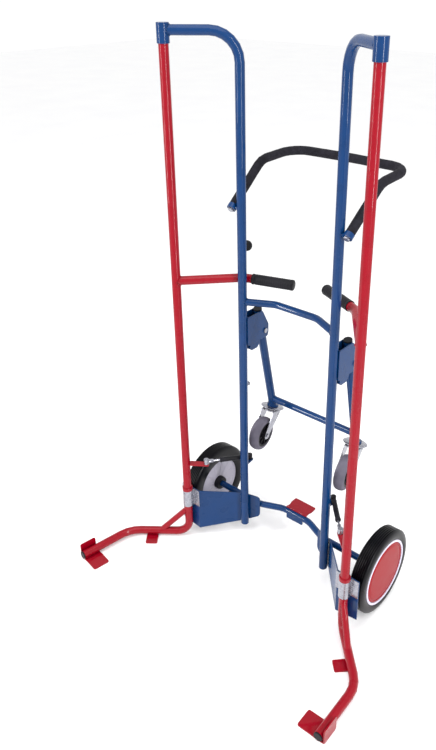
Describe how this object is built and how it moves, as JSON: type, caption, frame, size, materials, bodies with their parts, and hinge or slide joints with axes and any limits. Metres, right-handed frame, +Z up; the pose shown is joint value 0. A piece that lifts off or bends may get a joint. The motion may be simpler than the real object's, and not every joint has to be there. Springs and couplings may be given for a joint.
{
  "type": "tyre trolley",
  "caption": "Tyre hand truck with two swinging toe arms, gas springs, padded push bar, road wheels and a fold-out frame on castors.",
  "frame": {"origin": "On the floor, at the middle of the outline seen from above, with the arms as they stand at rest", "axes": "+Z is up; -Y is the side that faces the tyres; +X is to the right for someone who looks along +Y"},
  "size_m": [0.9416, 0.6992, 1.5469],
  "materials": {
    "frame_blue": "gloss powder coat",
    "arm_red": "gloss powder coat",
    "zinc": "zinc plated, satin",
    "black_plastic": "matt",
    "foam": "closed-cell foam",
    "tyre_rubber": "ribbed rubber",
    "castor_rubber": "smooth grey rubber",
    "pale_plastic": "semi-gloss moulded plastic",
    "cap_red": "gloss moulded plastic"
  },
  "bodies": {
    "frame": {"upper_cross_tube": "frame_blue", "axle": "frame_blue", "tread_plate": "arm_red", "push_bar_tube": "frame_blue", "push_bar_foam": "foam", "spring_bolt": "zinc", "upright_left": "frame_blue", "top_sleeve_left": "frame_blue", "side_plate_left": "frame_blue", "pivot_saddle_left": "zinc", "push_bar_bolt_left": "zinc", "support_bracket_left": "frame_blue", "support_bolt_left": "zinc", "upright_right": "frame_blue", "top_sleeve_right": "frame_blue", "side_plate_right": "frame_blue", "pivot_saddle_right": "zinc", "push_bar_bolt_right": "zinc", "support_bracket_right": "frame_blue", "support_bolt_right": "zinc"},
    "arm_left_body": {"arm_left": "arm_red", "arm_brace_left": "arm_red", "inner_toe_left": "arm_red", "tip_toe_left": "arm_red", "tip_cap_left": "black_plastic", "handle_tube_left": "arm_red", "handle_grip_left": "black_plastic"},
    "gas_cylinder_left": {"spring_cylinder_left": "black_plastic"},
    "gas_rod_left": {"spring_rod_left": "zinc"},
    "castor_swivel_left": {"castor_fork_left": "zinc"},
    "castor_wheel_left": {"castor_tyre_left": "castor_rubber", "castor_hub_left": "black_plastic"},
    "road_wheel_left": {"wheel_tyre_left": "tyre_rubber", "wheel_rim_left": "pale_plastic", "wheel_cap_left": "cap_red"},
    "catch_left": {"leg_catch_left": "frame_blue"},
    "arm_right_body": {"arm_right": "arm_red", "arm_brace_right": "arm_red", "inner_toe_right": "arm_red", "tip_toe_right": "arm_red", "tip_cap_right": "black_plastic", "handle_tube_right": "arm_red", "handle_grip_right": "black_plastic"},
    "gas_cylinder_right": {"spring_cylinder_right": "black_plastic"},
    "gas_rod_right": {"spring_rod_right": "zinc"},
    "castor_swivel_right": {"castor_fork_right": "zinc"},
    "castor_wheel_right": {"castor_tyre_right": "castor_rubber", "castor_hub_right": "black_plastic"},
    "road_wheel_right": {"wheel_tyre_right": "tyre_rubber", "wheel_rim_right": "pale_plastic", "wheel_cap_right": "cap_red"},
    "catch_right": {"leg_catch_right": "frame_blue"},
    "support_frame": {"support_cross_tube": "frame_blue", "support_leg_left": "frame_blue", "leg_cap_left": "black_plastic", "castor_head_left": "zinc", "support_leg_right": "frame_blue", "leg_cap_right": "black_plastic", "castor_head_right": "zinc"},
    "knob": {"release_knob": "black_plastic"}
  },
  "joints": [
    {"name": "arm_left_swing", "type": "hinge", "parent": "frame", "child": "arm_left_body", "pos_m": [-0.27552, -0.03691, 0.9], "axis": [0, 0, 1], "range_deg": [0, 35]},
    {"name": "gas_cylinder_left_swing", "type": "hinge", "parent": "frame", "child": "gas_cylinder_left", "pos_m": [-0.13712, 0.10379, 0.297], "axis": [0, 0, 1], "range_deg": [-15.76, 0.01]},
    {"name": "gas_rod_left_slide", "type": "slide", "parent": "gas_cylinder_left", "child": "gas_rod_left", "axis": [-0.628, -0.7782, 0], "range_m": [-0.00001, 0.00351]},
    {"name": "road_wheel_left_spin", "type": "hinge", "parent": "frame", "child": "road_wheel_left", "pos_m": [-0.29582, 0.10909, 0.125], "axis": [1, 0, 0], "continuous": true},
    {"name": "castor_left_swivel", "type": "hinge", "parent": "support_frame", "child": "castor_swivel_left", "pos_m": [-0.13322, 0.21069, 0.431], "axis": [0, 0.309, 0.9511], "continuous": true},
    {"name": "castor_left_spin", "type": "hinge", "parent": "castor_swivel_left", "child": "castor_wheel_left", "pos_m": [-0.12859, 0.14886, 0.36277], "axis": [0.9925, 0.1159, -0.0377], "continuous": true},
    {"name": "catch_left_lift", "type": "slide", "parent": "frame", "child": "catch_left", "axis": [0, 0, 1], "range_m": [0, 0.006]},
    {"name": "arm_right_swing", "type": "hinge", "parent": "frame", "child": "arm_right_body", "pos_m": [0.31388, -0.03691, 0.9], "axis": [0, 0, -1], "range_deg": [-7, 28]},
    {"name": "gas_cylinder_right_swing", "type": "hinge", "parent": "frame", "child": "gas_cylinder_right", "pos_m": [0.17548, 0.10379, 0.297], "axis": [0, 0, -1], "range_deg": [-12.61, 3.16]},
    {"name": "gas_rod_right_slide", "type": "slide", "parent": "gas_cylinder_right", "child": "gas_rod_right", "axis": [0.673, -0.7396, 0], "range_m": [-0.00071, 0.00281]},
    {"name": "road_wheel_right_spin", "type": "hinge", "parent": "frame", "child": "road_wheel_right", "pos_m": [0.33418, 0.10909, 0.125], "axis": [1, 0, 0], "continuous": true},
    {"name": "castor_right_swivel", "type": "hinge", "parent": "support_frame", "child": "castor_swivel_right", "pos_m": [0.17158, 0.21069, 0.431], "axis": [0, 0.309, 0.9511], "continuous": true},
    {"name": "castor_right_spin", "type": "hinge", "parent": "castor_swivel_right", "child": "castor_wheel_right", "pos_m": [0.17883, 0.14925, 0.36264], "axis": [0.9816, 0.1815, -0.059], "continuous": true},
    {"name": "catch_right_lift", "type": "slide", "parent": "frame", "child": "catch_right", "axis": [0, 0, 1], "range_m": [0, 0.006]},
    {"name": "support_frame_swing", "type": "hinge", "parent": "frame", "child": "support_frame", "pos_m": [0.01918, 0.15176, 0.722], "axis": [1, 0, 0], "range_deg": [0, 36]},
    {"name": "release_knob_pull", "type": "slide", "parent": "frame", "child": "knob", "axis": [0, 1, 0], "range_m": [0, 0.015], "stiffness_N_per_m": 400, "springref_m": -0.01}
  ],
  "couplings": [
    {"joint": "gas_cylinder_left_swing", "follows": "arm_left_swing", "ratio": -0.45},
    {"joint": "gas_rod_left_slide", "follows": "arm_left_swing", "m_per_rad": 0.00573},
    {"joint": "gas_cylinder_right_swing", "follows": "arm_right_swing", "ratio": -0.45},
    {"joint": "gas_rod_right_slide", "follows": "arm_right_swing", "m_per_rad": 0.00573},
    {"joint": "catch_left_lift", "follows": "release_knob_pull", "ratio": 0.4},
    {"joint": "catch_right_lift", "follows": "release_knob_pull", "ratio": 0.4}
  ]
}
